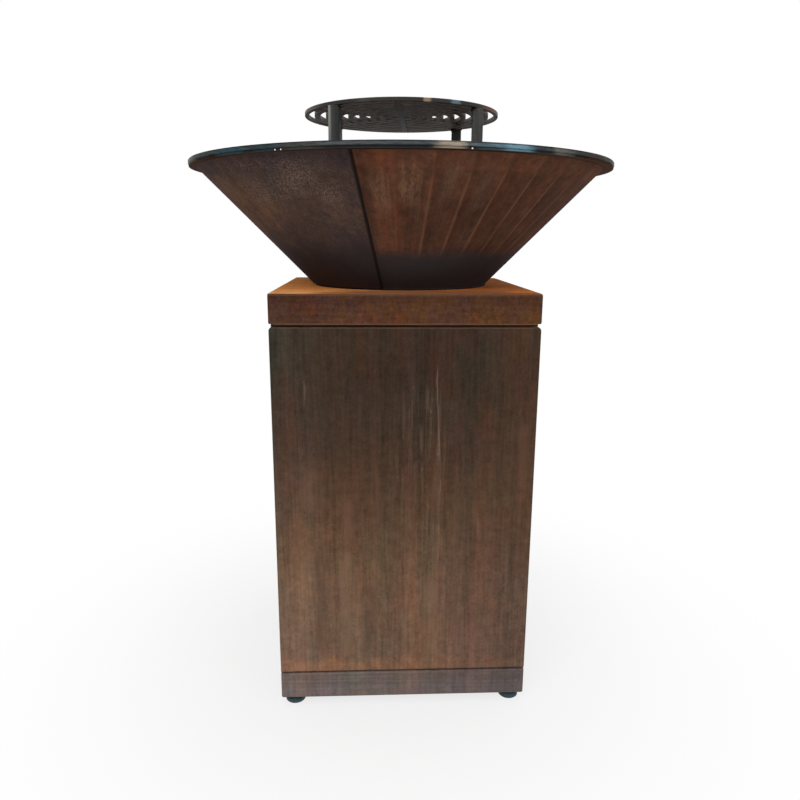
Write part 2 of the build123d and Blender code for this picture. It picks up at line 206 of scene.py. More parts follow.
class Graph:
    """A node tree written as calls, round one place: each call adds a node and gives back an output.

    A colour is an output, or three numbers from 0 to 255.
    """

    def __init__(self, tree, place=None):
        self.tree = tree
        self.place = place
        if place is not None:
            self.x, self.y, self.z = self.node("ShaderNodeSeparateXYZ", {0: place}).outputs

    def put(self, value, socket):
        """Set a socket to a value, or link an output to it."""
        if isinstance(value, bpy.types.NodeSocket):
            self.tree.links.new(value, socket)
        else:
            socket.default_value = value

    def node(self, kind, inputs=None, **settings):
        """Add a node, set its properties and its inputs; an input is a value or another output."""
        made = self.tree.nodes.new(kind)
        for key, value in settings.items():
            setattr(made, key, value)
        for key, value in (inputs or {}).items():
            self.put(value, made.inputs[key])
        return made

    def use(self, tree, **inputs):
        """Place a group at the graph's place; the names of its inputs are written with _ for a space."""
        made = self.node("ShaderNodeGroup", node_tree=tree)
        for key, value in {"Vector": self.place, **inputs}.items():
            self.put(value, made.inputs[key.replace("_", " ")])
        return made.outputs

    def math(self, operation, a, b=0.0, c=0.0):
        """One Math node."""
        return self.node("ShaderNodeMath", {0: a, 1: b, 2: c}, operation=operation).outputs[0]

    def vector(self, operation, a, b=(0, 0, 0)):
        """One Vector Math node."""
        return self.node("ShaderNodeVectorMath", {0: a, 1: b}, operation=operation).outputs[0]

    def combined(self, x=0.0, y=0.0, z=0.0):
        """A vector of three numbers."""
        return self.node("ShaderNodeCombineXYZ", {0: x, 1: y, 2: z}).outputs[0]

    def scaled(self, vector, level):
        """A vector or a colour times a number."""
        return self.node("ShaderNodeVectorMath", {0: vector, "Scale": level}, operation="SCALE").outputs[0]

    def plus(self, a, b):
        """The sum of two values."""
        return self.math("ADD", a, b)

    def less(self, a, b):
        """The first value less the second."""
        return self.math("SUBTRACT", a, b)

    def times(self, *values):
        """The product of several values."""
        total = values[0]
        for value in values[1:]:
            total = self.math("MULTIPLY", total, value)
        return total

    def swing(self, wave, size):
        """A noise from 0 to 1 as a push down or up, of half the size at most."""
        return self.times(self.less(wave, 0.5), size)

    def step(self, value, start, end, low_value=0.0, high_value=1.0):
        """A soft step: low_value before start, high_value after end; start may lie above end."""
        made = self.node("ShaderNodeMapRange", {
            "Value": value, "From Min": start, "From Max": end, "To Min": low_value, "To Max": high_value},
            interpolation_type="SMOOTHSTEP")
        return made.outputs["Result"]

    def radius(self):
        """Distance of the place from the upright axis."""
        return self.math("SQRT", self.plus(self.times(self.x, self.x), self.times(self.y, self.y)))

    def angle(self, start):
        """Angle of the place round the upright axis, from a start, within half a turn to each side."""
        return self.math("WRAP", self.less(self.math("ARCTAN2", self.y, self.x), start), math.pi, -math.pi)

    def stretch(self, scale, shift=(0, 0, 0)):
        """The place times a scale for each axis, plus a shift."""
        made = self.node("ShaderNodeMapping", {"Vector": self.place, "Scale": scale, "Location": shift})
        return made.outputs[0]

    def noise(self, scale=1.0, detail=3.0, rough=0.55, warp=0.0, at=None):
        """A noise from 0 to 1, at a vector or at the graph's place."""
        made = self.node("ShaderNodeTexNoise", {
            "Vector": self.place if at is None else at, "Scale": scale, "Detail": detail,
            "Roughness": rough, "Distortion": warp})
        return made.outputs["Fac"]

    def drawn(self, scale, detail=3.0, rough=0.55, shift=(0, 0, 0)):
        """A noise with a scale of its own for each axis."""
        return self.noise(1.0, detail, rough, at=self.stretch(scale, shift))

    def mixed(self, share, a, b, kind="MIX"):
        """Two colours, in the shader's own numbers, mixed by a share."""
        made = self.node("ShaderNodeMix", data_type="RGBA", blend_type=kind)
        colors = [socket for socket in made.inputs if socket.type == "RGBA"]
        for value, socket in ((share, made.inputs[0]), (a, colors[0]), (b, colors[1])):
            self.put(value, socket)
        return [socket for socket in made.outputs if socket.type == "RGBA"][0]

    def blend(self, share, a, b):
        """A colour between a and b."""
        return self.mixed(share, linear(a), linear(b))

    def laid(self, color, tone, *shares):
        """A tone laid over the colour, as far as the product of the shares says."""
        return self.blend(self.times(*shares), color, tone)

    def tinted(self, color, tint, *shares):
        """The colour times a tint, as far as the product of the shares says."""
        return self.mixed(self.times(*shares), color, self.mixed(1.0, color, (*tint, 1.0), "MULTIPLY"))

    def clouded(self, color, tint, scale, shift, start, end, *shares):
        """The colour tinted in clouds, where a stretched noise rises from start to end."""
        return self.tinted(color, tint, self.step(self.drawn(scale, shift=shift), start, end), *shares)

    def hues(self, color, wave, cool, warm):
        """The colour tinted one way where the wave is low and another way where it is high."""
        tint = self.mixed(self.step(wave, 0.36, 0.64), (*cool, 1.0), (*warm, 1.0))
        return self.mixed(1.0, color, tint, "MULTIPLY")

    def gain(self, color, *waves):
        """The colour made lighter and darker: each wave is a noise and how strongly it works."""
        level = 1.0
        for wave, strength in waves:
            level = self.plus(level, self.swing(wave, strength))
        return self.scaled(color, level)

    def ramp(self, value, stops):
        """A colour ramp of (place, colour) stops."""
        made = self.node("ShaderNodeValToRGB", {0: value})
        points = made.color_ramp.elements
        while len(points) < len(stops):
            points.new(0.5)
        for point, (place, color) in zip(points, stops):
            point.position = place
            point.color = linear(color)
        return made.outputs[0]


def group(name, inputs, outputs):
    """A new node group with a Vector and more inputs: each is a kind, or the number that it starts from."""
    kinds = {"value": "NodeSocketFloat", "vector": "NodeSocketVector", "color": "NodeSocketColor"}
    tree = bpy.data.node_groups.new(name, "ShaderNodeTree")
    for label, start in {"Vector": "vector", **inputs}.items():
        kind = start if isinstance(start, str) else "value"
        socket = tree.interface.new_socket(label, in_out="INPUT", socket_type=kinds[kind])
        if kind == "value":
            socket.default_value = start
    for label, kind in outputs.items():
        tree.interface.new_socket(label, in_out="OUTPUT", socket_type=kinds[kind])
    source = tree.nodes.new("NodeGroupInput").outputs
    sink = tree.nodes.new("NodeGroupOutput").inputs
    return Graph(tree, source["Vector"]), source, sink


def make_rust_mottle():
    """Cloudy rust of three tones, with finer freckles over it."""
    g, source, sink = group("rust_mottle", {
        "Dark": "color", "Middle": "color", "Light": "color", "Size": 14.0, "Freckles": 0.3},
        {"Color": "color", "Height": "value"})
    cloud = g.noise(source["Size"], 6.0, 0.6, 0.3)
    patch = g.noise(g.times(source["Size"], 2.7), 4.0, 0.6, 0.5, at=g.stretch((1, 1, 1), (7.3, -2.1, 4.7)))
    freckle = g.noise(520.0, 3.0, 0.7)
    mixed = g.plus(g.times(cloud, 0.6), g.times(patch, 0.4))
    tone = g.blend(g.step(mixed, 0.36, 0.5), source["Dark"], source["Middle"])
    tone = g.blend(g.step(mixed, 0.5, 0.66), tone, source["Light"])
    g.put(g.gain(tone, (freckle, g.times(source["Freckles"], 2.0))), sink["Color"])
    g.put(g.plus(g.times(freckle, 0.6), g.times(patch, 0.4)), sink["Height"])
    return g.tree


def make_rain_runs():
    """Streaks that rain left on an upright sheet: noise drawn out along the height."""
    g, source, sink = group("rain_runs", {"Across": 60.0, "Along": 2.5, "Seed": 0.0}, {"Value": "value"})
    scale = g.combined(source["Across"], source["Across"], source["Along"])
    place = g.vector("ADD", g.vector("MULTIPLY", g.place, scale), source["Seed"])
    g.put(g.noise(at=place), sink["Value"])
    return g.tree


def make_ring_noise():
    """Noise on a turned form, at the direction from the axis times Around, plus the height times Along."""
    g, source, sink = group("ring_noise", {
        "Around": 60.0, "Along": 2.0, "Seed": 0.0, "Detail": 3.0, "Rough": 0.55}, {"Value": "value"})
    spread = g.scaled(g.vector("NORMALIZE", g.combined(g.x, g.y)), source["Around"])
    level = g.combined(z=g.times(g.z, source["Along"]))
    place = g.vector("ADD", g.vector("ADD", spread, level), source["Seed"])
    g.put(g.noise(1.0, source["Detail"], source["Rough"], at=place), sink["Value"])
    return g.tree


def make_drip():
    """One narrow run on the door's front: a soft line from X Top at Top down to X Bottom at Bottom."""
    g, source, sink = group("drip", {
        "X Top": 0.0, "Top": 0.6, "X Bottom": 0.0, "Bottom": 0.4, "Width": 2 * MM}, {"Mask": "value"})
    top, bottom, fade = source["Top"], source["Bottom"], 30 * MM
    reach = g.times(g.step(g.z, top, bottom), g.less(source["X Bottom"], source["X Top"]))
    wander = g.swing(g.drawn((0, 0, 40), 2.0), 4 * MM)
    line = g.plus(g.plus(source["X Top"], reach), wander)
    across = g.step(g.math("ABSOLUTE", g.less(g.x, line)), source["Width"], 0.0)
    ends = g.times(g.step(g.z, top, g.less(top, fade)), g.step(g.z, bottom, g.plus(bottom, fade)))
    broken = g.step(g.drawn((60, 60, 22)), 0.3, 0.55, 0.35, 1.0)
    front = g.math("LESS_THAN", g.y, FRONT + 1.5 * MM)
    g.put(g.times(across, ends, broken, front), sink["Mask"])
    return g.tree


def make_box_edges():
    """How near a point on a box of the pedestal's width is to the box's edges: 1 on one, 0 a width away.

    The distance to an edge is the second smallest of the three distances to the box's faces.
    """
    g, source, sink = group("box_edges", {"Bottom": 0.0, "Top": 1.0, "Width": 5 * MM}, {"Mask": "value"})
    to_x = g.less(BOX_HALF, g.math("ABSOLUTE", g.x))
    to_y = g.less(BOX_HALF, g.math("ABSOLUTE", g.y))
    to_z = g.math("MINIMUM", g.less(source["Top"], g.z), g.less(g.z, source["Bottom"]))
    least, most = g.math("MINIMUM", to_x, to_y), g.math("MAXIMUM", to_x, to_y)
    second = g.math("MAXIMUM", least, g.math("MINIMUM", most, to_z))
    ragged = g.times(g.noise(70.0, 4.0), source["Width"], 0.6)
    g.put(g.step(g.plus(second, ragged), source["Width"], 0.0), sink["Mask"])
    return g.tree


def make_painted_low_shade():
    """Painted shade that fades out upwards: 1 below Low, 0 above High, with a cloudy border."""
    g, source, sink = group("soot", {"Low": 0.8, "High": 0.86, "Ragged": 0.02}, {"Mask": "value"})
    uneven = g.plus(g.z, g.swing(g.noise(14.0, 5.0), source["Ragged"]))
    g.put(g.step(uneven, source["High"], source["Low"]), sink["Mask"])
    return g.tree


def make_crease_lines():
    """Lines where the bowl's right sheet was bent, and its seam.

    The angle round the axis less the seam's angle, over the step between creases, counts the facets
    (Turn); its fraction is the place across a facet, and times the step and the radius it is a length.
    """
    g, source, sink = group("crease_lines", {"Width": 3 * MM}, {
        "Crease": "value", "Seam": "value", "Across": "value", "Turn": "value"})
    angle, radius = g.angle(SEAM), g.radius()
    turn = g.math("DIVIDE", angle, CREASE_STEP)
    share = g.math("FRACT", g.plus(turn, 200.0))
    gap = g.times(g.math("PINGPONG", share, 0.5), CREASE_STEP, radius)
    on_seam = g.math("LESS_THAN", g.math("ABSOLUTE", turn), 0.5)
    g.put(g.times(g.step(gap, source["Width"], 0.0), g.less(1.0, on_seam)), sink["Crease"])
    g.put(g.step(g.times(g.math("ABSOLUTE", angle), radius), 3.6 * MM, 1.2 * MM), sink["Seam"])
    g.put(share, sink["Across"])
    g.put(turn, sink["Turn"])
    return g.tree


def make_rust_and_sheen_patch():
    """A ragged patch on a turned form: 1 round its angle and level, 0 a width and a reach away."""
    g, source, sink = group("rust_and_sheen_patch", {
        "Angle": 0.0, "Width": 0.1, "Level": 1.0, "Reach": 1.0}, {"Mask": "value"})
    width, reach = source["Width"], source["Reach"]
    off = g.math("ABSOLUTE", g.plus(g.angle(source["Angle"]), g.swing(g.noise(45.0), width)))
    high_off = g.math("ABSOLUTE", g.less(g.z, source["Level"]))
    level = g.step(high_off, reach, g.times(reach, 0.2))
    g.put(g.times(g.step(off, width, g.times(width, 0.3)), level), sink["Mask"])
    return g.tree


RUST = make_rust_mottle()
RUNS = make_rain_runs()
RING_NOISE = make_ring_noise()
DRIP = make_drip()
EDGES = make_box_edges()
PAINTED_LOW_SHADE = make_painted_low_shade()
CREASE_LINES = make_crease_lines()
RUST_AND_SHEEN_PATCH = make_rust_and_sheen_patch()


class Finish(Graph):
    """A material as a graph round the Object coordinates, with the groups above as calls."""

    def __init__(self, name, roughness, specular=0.5, metallic=0.0):
        self.material = bpy.data.materials.new(name)
        self.material.use_nodes = True
        tree = self.material.node_tree
        super().__init__(tree, tree.nodes.new("ShaderNodeTexCoord").outputs["Object"])
        self.sockets = tree.nodes["Principled BSDF"].inputs
        self.sockets["Metallic"].default_value = metallic
        self.sockets["Roughness"].default_value = roughness
        self.sockets["Specular IOR Level"].default_value = specular

    def rust(self, dark, middle, light, size, freckles):
        """Rust of three tones: its colour and its height."""
        return self.use(RUST, Dark=linear(dark), Middle=linear(middle), Light=linear(light), Size=size,
                        Freckles=freckles)

    def runs(self, across, along, seed):
        """A noise in upright runs."""
        return self.use(RUNS, Across=across, Along=along, Seed=seed)["Value"]

    def ring_noise(self, around, along, seed, detail=3.0, rough=0.55):
        """A noise on a turned form."""
        return self.use(RING_NOISE, Around=around, Along=along, Seed=seed, Detail=detail,
                        Rough=rough)["Value"]

    def drip(self, x_top, top, x_bottom, bottom, width):
        """One run on the door."""
        return self.use(DRIP, X_Top=x_top, Top=top, X_Bottom=x_bottom, Bottom=bottom, Width=width)["Mask"]

    def edges(self, bottom, top, width):
        """The edges of a box between two heights."""
        return self.use(EDGES, Bottom=bottom, Top=top, Width=width)["Mask"]

    def soot(self, low_z, high_z, ragged):
        """Painted shade that fades out between two heights."""
        return self.use(PAINTED_LOW_SHADE, Low=low_z, High=high_z, Ragged=ragged)["Mask"]

    def rust_and_sheen_patch(self, angle, width, level=1.0, reach=1.0):
        """One patch on a turned form; its angle and half width are in degrees."""
        return self.use(RUST_AND_SHEEN_PATCH, Angle=math.radians(angle), Width=math.radians(width), Level=level,
                        Reach=reach)["Mask"]

    def rust_grain_patches(self, color, tone, grains, rows):
        """Grains of a tone in several patches: (angle, level, half width, reach, share) each."""
        for angle, level, width, reach, share in rows:
            color = self.laid(color, tone, grains, self.rust_and_sheen_patch(angle, width, level, reach), share)
        return color

    def sheen(self, color, strength, rows):
        """Several patches of their own tones, mostly painted sheen and reflections: (angle, half width, tone,
        share) each.
        """
        for angle, width, tone, share in rows:
            color = self.laid(color, tone, self.rust_and_sheen_patch(angle, width), share, strength)
        return color

    def done(self, color, height, depth, strength=0.3, rough=None):
        """Give the shader its colour, a relief from a height and a roughness; gives back the material."""
        self.put(color, self.sockets["Base Color"])
        if rough is not None:
            self.put(rough, self.sockets["Roughness"])
        bump = self.node("ShaderNodeBump", {"Height": height, "Distance": depth, "Strength": strength})
        self.put(bump.outputs[0], self.sockets["Normal"])
        return self.material


# Finishes of the pedestal

# Heights between which the tones of the door and the panels run
PANEL_LEVELS = (0.06, 0.76)


def upright_rust(name, stops, low_z, high_z, contrast=1.0):
    """Rust on an upright sheet: tones from the foot up, in runs of three widths, with specks."""
    g = Finish(name, 0.9, 0.08)
    broad, band, fine = g.runs(24.0, 0.9, 3.4), g.runs(52.0, 2.2, 11.0), g.runs(190.0, 11.0, 23.0)
    speck = g.noise(70.0, 6.0, 0.9)
    color = g.ramp(g.plus(g.step(g.z, low_z, high_z), g.swing(broad, 0.22)), stops)
    color = g.gain(color, (broad, 0.85 * contrast), (band, 0.6 * contrast), (fine, 0.8 * contrast),
                   (speck, 1.9 * contrast))
    color = g.hues(color, broad, (0.96, 1.01, 1.0), (1.05, 0.995, 0.97))
    color = g.hues(color, g.drawn((15, 15, 7), 5.0, 0.75), (0.95, 1.01, 1.02), (1.05, 0.985, 0.95))
    return g, color, speck


def make_door_rust():
    """The door's rust: dark and greenish at the top, partly as painted shade under the bowl, warmer and paler
    at the foot, with long runs.
    """
    # The tones darken towards the top, in part as painted shade from the bowl above
    g, color, speck = upright_rust("door_rust", (
        (0.0, (112, 88, 72)), (0.25, (102, 79, 61)), (0.45, (86, 65, 50)), (0.70, (70, 52, 41)),
        (0.92, (57, 45, 36))), *PANEL_LEVELS)
    # Rusty, greenish and pink runs
    for run, start, end, tint, heights in (
        ((17.0, 7.0, 31.0), 0.5, 0.66, (1.13, 0.97, 0.85), (0.45, 0.62, 0.5, 1.0)),
        ((12.0, 7.0, 47.0), 0.44, 0.6, (0.9, 1.01, 0.99), (0.48, 0.7)),
        ((19.0, 8.0, 59.0), 0.5, 0.64, (1.1, 0.95, 1.04), (0.5, 0.62, 0.5, 1.0)),
    ):
        color = g.tinted(color, tint, g.step(g.runs(*run), start, end), g.step(g.z, *heights))
    # Broad areas that are paler or darker, from side to side and by height
    for tint, sides, heights in (
        ((1.2, 1.22, 1.24), (-0.13, -0.235), (0.3, 0.56, 0.4, 1.0)),
        ((1.09, 1.05, 1.05), (-0.03, -0.1), (0.52, 0.42)),
        ((0.84, 0.8, 0.88), (0.05, 0.13), (0.42, 0.32)),
        ((1.22, 1.1, 1.04), (0.13, 0.19), (0.5, 0.6)),
    ):
        color = g.tinted(color, tint, g.step(g.x, *sides), g.step(g.z, *heights))
    color = g.tinted(color, (0.93, 1.05, 1.12), g.step(g.x, -0.13, -0.18))
    # Pale streaks and flecks where water ran down the middle
    washed = g.times(g.step(g.x, -0.03, 0.0), g.step(g.x, 0.1, 0.06), g.step(g.z, 0.17, 0.24),
                     g.step(g.z, 0.66, 0.58), g.step(g.runs(140.0, 7.0, 83.0), 0.46, 0.74))
    color = g.laid(color, (124, 102, 84), washed, 0.26)
    fleck = g.step(g.drawn((260, 260, 130), 3.0, 0.7), 0.56, 0.66)
    color = g.laid(color, (146, 124, 102), washed, fleck, 0.4)
    # Splashes at the foot, then painted highlights on the bent edges and on the top fold
    ragged = g.swing(g.drawn((30, 30, 4), 4.0), 0.05)
    splash = g.step(g.plus(g.z, ragged), DOOR_LOW + 34 * MM, DOOR_LOW + 16 * MM)
    color = g.tinted(color, (1.42, 1.24, 1.1), splash, g.step(g.x, 0.06, -0.08, 0.35, 1.0))
    color = g.laid(color, (128, 104, 86), g.edges(DOOR_LOW, DOOR_HIGH, 3.5 * MM), 0.45)
    fold = g.times(g.step(g.z, DOOR_HIGH - 1.8 * MM, DOOR_HIGH - 0.6 * MM),
                   g.step(g.y, FRONT + 2.4 * MM, FRONT + 1.2 * MM),
                   g.step(g.noise(40.0, 4.0), 0.3, 0.55, 0.35, 1.0))
    color = g.laid(color, (160, 130, 108), fold, 0.85)
    # Upright bands, then thin pale lines
    for x, top, bottom, width, tone, share in (
        (-0.157, 0.36, 0.095, 0.020, (86, 68, 56), 0.55), (-0.110, 0.34, 0.090, 0.022, (134, 104, 82), 0.42),
        (-0.063, 0.27, 0.095, 0.024, (84, 66, 55), 0.55), (0.091, 0.36, 0.130, 0.016, (82, 64, 54), 0.45),
        (0.050, 0.27, 0.110, 0.024, (128, 98, 78), 0.40), (0.190, 0.14, 0.080, 0.026, (80, 66, 58), 0.40),
        (0.213, 0.58, 0.400, 0.020, (106, 72, 58), 0.40), (-0.170, 0.50, 0.400, 0.022, (116, 86, 68), 0.35),
        (-0.105, 0.44, 0.330, 0.020, (108, 76, 62), 0.40),
    ):
        color = g.laid(color, tone, g.drip(x, top, x, bottom, width), share)
    for *line, share in (
        (0.055, 0.680, 0.065, 0.420, 0.0022, 0.55), (0.007, 0.610, 0.0075, 0.565, 0.0022, 0.30),
        (0.028, 0.575, 0.029, 0.500, 0.0050, 0.32), (0.039, 0.645, 0.040, 0.570, 0.0060, 0.26),
        (0.065, 0.440, 0.066, 0.405, 0.0050, 0.40), (0.040, 0.410, 0.041, 0.370, 0.0050, 0.30),
        (0.135, 0.405, 0.137, 0.340, 0.0040, 0.30), (0.110, 0.235, 0.112, 0.130, 0.0050, 0.28),
        (0.060, 0.260, 0.061, 0.180, 0.0060, 0.26), (-0.176, 0.660, -0.177, 0.590, 0.0040, 0.34),
    ):
        color = g.laid(color, (122, 98, 84), g.drip(*line), share)
    return g.done(color, speck, 0.4 * MM)


def make_side_rust():
    """The rust of the side and back panels, darker towards the top, partly as painted shade under the bowl.
    """
    g, color, speck = upright_rust("side_rust", (
        (0.0, (112, 88, 73)), (0.45, (90, 68, 53)), (0.9, (64, 50, 40))), *PANEL_LEVELS)
    color = g.tinted(color, (1.18, 0.98, 0.86), g.step(g.runs(17.0, 7.0, 71.0), 0.5, 0.66))
    return g.done(color, speck, 0.4 * MM)


def make_plinth_rust():
    """The plinth's rust, greyer and dusty, in violet and beige clouds, with fine lying lines."""
    g, color, speck = upright_rust("plinth_rust", (
        (0.0, (115, 104, 98)), (1.0, (111, 98, 91))), PLINTH_LOW, PLINTH_HIGH, 0.7)
    color = g.clouded(color, (0.97, 0.95, 1.07), (16, 16, 20), (3, 1, 0), 0.46, 0.58)
    color = g.clouded(color, (1.1, 1.02, 0.93), (22, 22, 14), (9, 4, 2), 0.5, 0.6)
    color = g.tinted(color, (0.76, 0.75, 0.77), g.step(g.x, -0.06, 0.13))
    color = g.gain(color, (g.drawn((6, 6, 260), 2.0), 0.6))
    # Darker edges all round: painted shade from the gap above the plinth
    color = g.laid(color, (86, 74, 66), g.edges(PLINTH_LOW, PLINTH_HIGH, 3 * MM), 0.35)
    return g.done(color, speck, 0.4 * MM)


def make_cap_rust():
    """The cap's rust: bright orange tan on top, where water stands, brighter still as painted light under the
    bowl's shade, and brown on the folded sides.
    """
    g = Finish("cap_rust", 0.9, 0.08)
    rust = g.rust((72, 47, 35), (81, 53, 37), (90, 58, 39), 13.0, 0.3)
    lines = g.drawn((14, 14, 210), 4.0, 0.7)
    speck = g.noise(110.0, 5.0, 0.9)
    uneven = g.plus(g.z, g.swing(rust["Height"], 0.03))
    side = g.tinted(rust["Color"], (0.84, 0.8, 0.84), g.step(uneven, CAP_HIGH - 24 * MM, CAP_HIGH - 12 * MM))
    side = g.gain(side, (g.runs(120.0, 40.0, 5.0), 0.7), (lines, 0.9), (speck, 2.2))
    side = g.tinted(side, (0.78, 0.86, 1.02), g.step(g.x, -0.13, -0.2))
    side = g.clouded(side, (0.92, 0.96, 1.2), (20, 20, 16), (5, 0, 2), 0.46, 0.56,
                     g.step(g.x, 0.1, -0.22, 0.5, 1.0))
    side = g.clouded(side, (1.08, 1.06, 0.76), (26, 26, 18), (1, 7, 4), 0.5, 0.6)
    side = g.clouded(side, (1.18, 0.94, 0.88), (24, 24, 16), (8, 3, 6), 0.52, 0.62)
    # The top's tones are raised above the rust's own as painted light, since the bowl shades the top
    top = g.rust((220, 130, 58), (238, 150, 74), (248, 172, 104), 11.0, 0.24)["Color"]
    top = g.tinted(top, (0.86, 0.72, 0.72), g.step(g.x, -0.1, 0.2))
    top = g.gain(top, (speck, 1.4), (lines, 0.5))
    lying = g.step(g.z, CAP_HIGH - 1.6 * MM, CAP_HIGH - 0.3 * MM)
    color = g.blend(lying, side, top)
    # Browner strips along the top's front edge, and a paler front left corner of painted light
    color = g.laid(color, (156, 106, 76), lying, g.step(g.y, -0.150, -0.190), g.step(g.x, -0.15, -0.07),
                   g.step(g.x, 0.2, 0.16), 0.85)
    color = g.laid(color, (118, 80, 60), lying, g.step(g.y, -0.205, -0.228), g.step(g.x, -0.19, -0.14), 0.8)
    color = g.laid(color, (226, 176, 120), lying, g.step(g.y, -0.15, -0.21), g.step(g.x, -0.13, -0.19), 0.6)
    # Painted highlights on the bend, the lower edge and the corners
    bend = g.times(g.step(g.z, CAP_HIGH - 6 * MM, CAP_HIGH - 2.5 * MM), g.less(1.0, lying))
    color = g.laid(color, (118, 86, 60), bend, 0.35)
    color = g.laid(color, (112, 78, 58), g.step(g.z, CAP_LOW + 3.4 * MM, CAP_LOW + 1.2 * MM), 0.4)
    color = g.laid(color, (136, 104, 80), g.edges(CAP_LOW, CAP_HIGH + 0.1, 2.2 * MM), 0.4)
    return g.done(color, rust["Height"], 0.5 * MM, 0.35)


def plain_rust(name, roughness, specular, tones, size, freckles, depth, strength):
    """Three tones of rust or soot and nothing more."""
    g = Finish(name, roughness, specular)
    rust = g.rust(*tones, size, freckles)
    return g.done(rust["Color"], rust["Height"], depth, strength)


# Finishes of the bowl, the plate and the grill

def make_bowl_smooth_rust():
    """The rolled left sheet: grey and purple brown in clouds, tan at the left side as painted light, with
    clusters of specks.
    """
    g = Finish("bowl_smooth_rust", 0.9, 0.05)
    rust = g.rust((69, 56, 50), (78, 61, 54), (88, 69, 59), 20.0, 0.3)
    speck = g.noise(85.0, 6.0, 0.95)
    color = g.gain(rust["Color"], (speck, 1.9), (g.noise(420.0, 2.0, 0.8), 1.8))
    hue = g.noise(17.0, 5.0, 0.75, at=g.stretch((1, 1, 1), (2, 6, 1)))
    color = g.hues(color, hue, (0.92, 0.95, 1.07), (1.07, 1.0, 0.92))
    # Painted light: paler and tan towards the left side, below the rim
    to_side = g.less(g.y, g.times(g.x, 0.75))
    color = g.tinted(color, (1.38, 1.18, 0.94), g.step(to_side, -0.12, 0.02), g.step(g.z, 0.995, 0.97),
                     g.step(g.noise(12.0, 4.0), 0.34, 0.5))
    color = g.tinted(color, (0.86, 0.86, 0.96), g.step(g.z, 0.985, 0.998))
    color = g.tinted(color, (0.8, 0.86, 0.92), g.step(g.z, 0.95, 0.975), g.step(g.x, -0.27, -0.2))
    grains = g.step(g.noise(330.0, 3.0, 0.8), 0.47, 0.6)
    color = g.rust_grain_patches(color, (140, 116, 100), grains, (
        (242.0, 0.983, 7.0, 0.022, 0.44), (237.8, 0.970, 7.0, 0.028, 0.46), (229.0, 0.962, 7.0, 0.030, 0.36),
        (247.7, 0.953, 6.0, 0.028, 0.40), (221.0, 0.955, 7.0, 0.045, 0.32), (233.0, 0.999, 22.0, 0.012, 0.30),
        (205.0, 0.970, 12.0, 0.034, 0.26), (120.0, 0.960, 24.0, 0.034, 0.28),
        (165.0, 0.940, 14.0, 0.034, 0.28)))
    # Painted shade, darker towards the foot where the cap hides the light
    color = g.laid(color, (46, 40, 41), g.soot(0.845, 0.925, 0.08), 0.92)
    # Painted shadow beside the lap's proud edge, in front
    seam = g.use(CREASE_LINES)["Seam"]
    color = g.laid(color, (30, 24, 23), seam, g.step(g.y, -0.1, -0.15), 0.85)
    return g.done(color, speck, 0.5 * MM, 0.35)


def make_bowl_creased_rust():
    """The bent right sheet: red brown in runs down the cone, shaded on each facet, with painted highlights on
    the creases.
    """
    g = Finish("bowl_creased_rust", 0.9, 0.05)
    rust = g.rust((72, 47, 36), (83, 55, 42), (93, 63, 48), 20.0, 0.28)
    broad, band = g.ring_noise(7.0, 3.0, 2.0), g.ring_noise(34.0, 14.0, 9.0)
    fine, speck = g.ring_noise(120.0, 40.0, 17.0), g.noise(75.0, 6.0, 0.9)
    color = g.gain(rust["Color"], (broad, 0.45), (band, 0.55), (fine, 0.5), (speck, 1.7))
    color = g.hues(color, g.ring_noise(12.0, 16.0, 29.0, 4.0, 0.7), (0.92, 1.0, 1.06), (1.1, 0.98, 0.9))
    lines = g.use(CREASE_LINES, Width=4.2 * MM)
    facet = lines["Turn"]
    lower = g.step(g.z, 0.925, 0.988, g.step(facet, 1.6, 2.8, 0.98, 0.8), 1.0)
    shade = g.times(g.step(lines["Across"], 0.0, 1.0, 0.88, 1.1), lower, g.step(g.x, 0.1, 0.3, 1.0, 0.88))
    color = g.scaled(color, shade)
    color = g.tinted(color, (1.24, 1.1, 1.02), g.step(facet, 0.1, 0.4), g.step(facet, 1.6, 1.0))
    grains = g.plus(g.ring_noise(130.0, 210.0, 41.0, 4.0, 0.8), g.swing(band, 0.6))
    color = g.rust_grain_patches(color, (146, 112, 86), g.step(grains, 0.34, 0.66), (
        (262.0, 0.958, 4.0, 0.040, 0.38), (269.5, 0.970, 4.0, 0.042, 0.42), (281.0, 0.972, 4.0, 0.032, 0.16),
        (289.5, 0.960, 3.0, 0.040, 0.10), (350.0, 0.950, 9.0, 0.050, 0.30), (20.0, 0.940, 14.0, 0.050, 0.30),
        (63.0, 0.960, 7.0, 0.040, 0.40)))
    # Painted highlights along the creases, where the bends catch the light
    color = g.laid(color, (126, 84, 62), lines["Crease"], g.step(g.z, 0.995, 0.975), g.step(g.z, 0.845, 0.88),
                   g.step(g.noise(30.0, 4.0), 0.3, 0.6, 0.5, 1.0), g.step(facet, 1.1, 1.9, 0.45, 1.0),
                   g.step(g.x, 0.1, 0.3, 0.5, 0.36))
    color = g.tinted(color, (1.36, 1.28, 1.2), g.step(g.z, 0.985, 0.991), 0.6)
    # Painted shade, darker towards the foot where the cap hides the light
    color = g.laid(color, (49, 45, 46), g.soot(0.850, 0.880, 0.04), 0.92)
    # Painted shadow beside the lap's proud edge, in front
    color = g.laid(color, (30, 24, 23), lines["Seam"], g.step(g.y, -0.1, -0.15), 0.9)
    return g.done(color, speck, 0.5 * MM, 0.35)


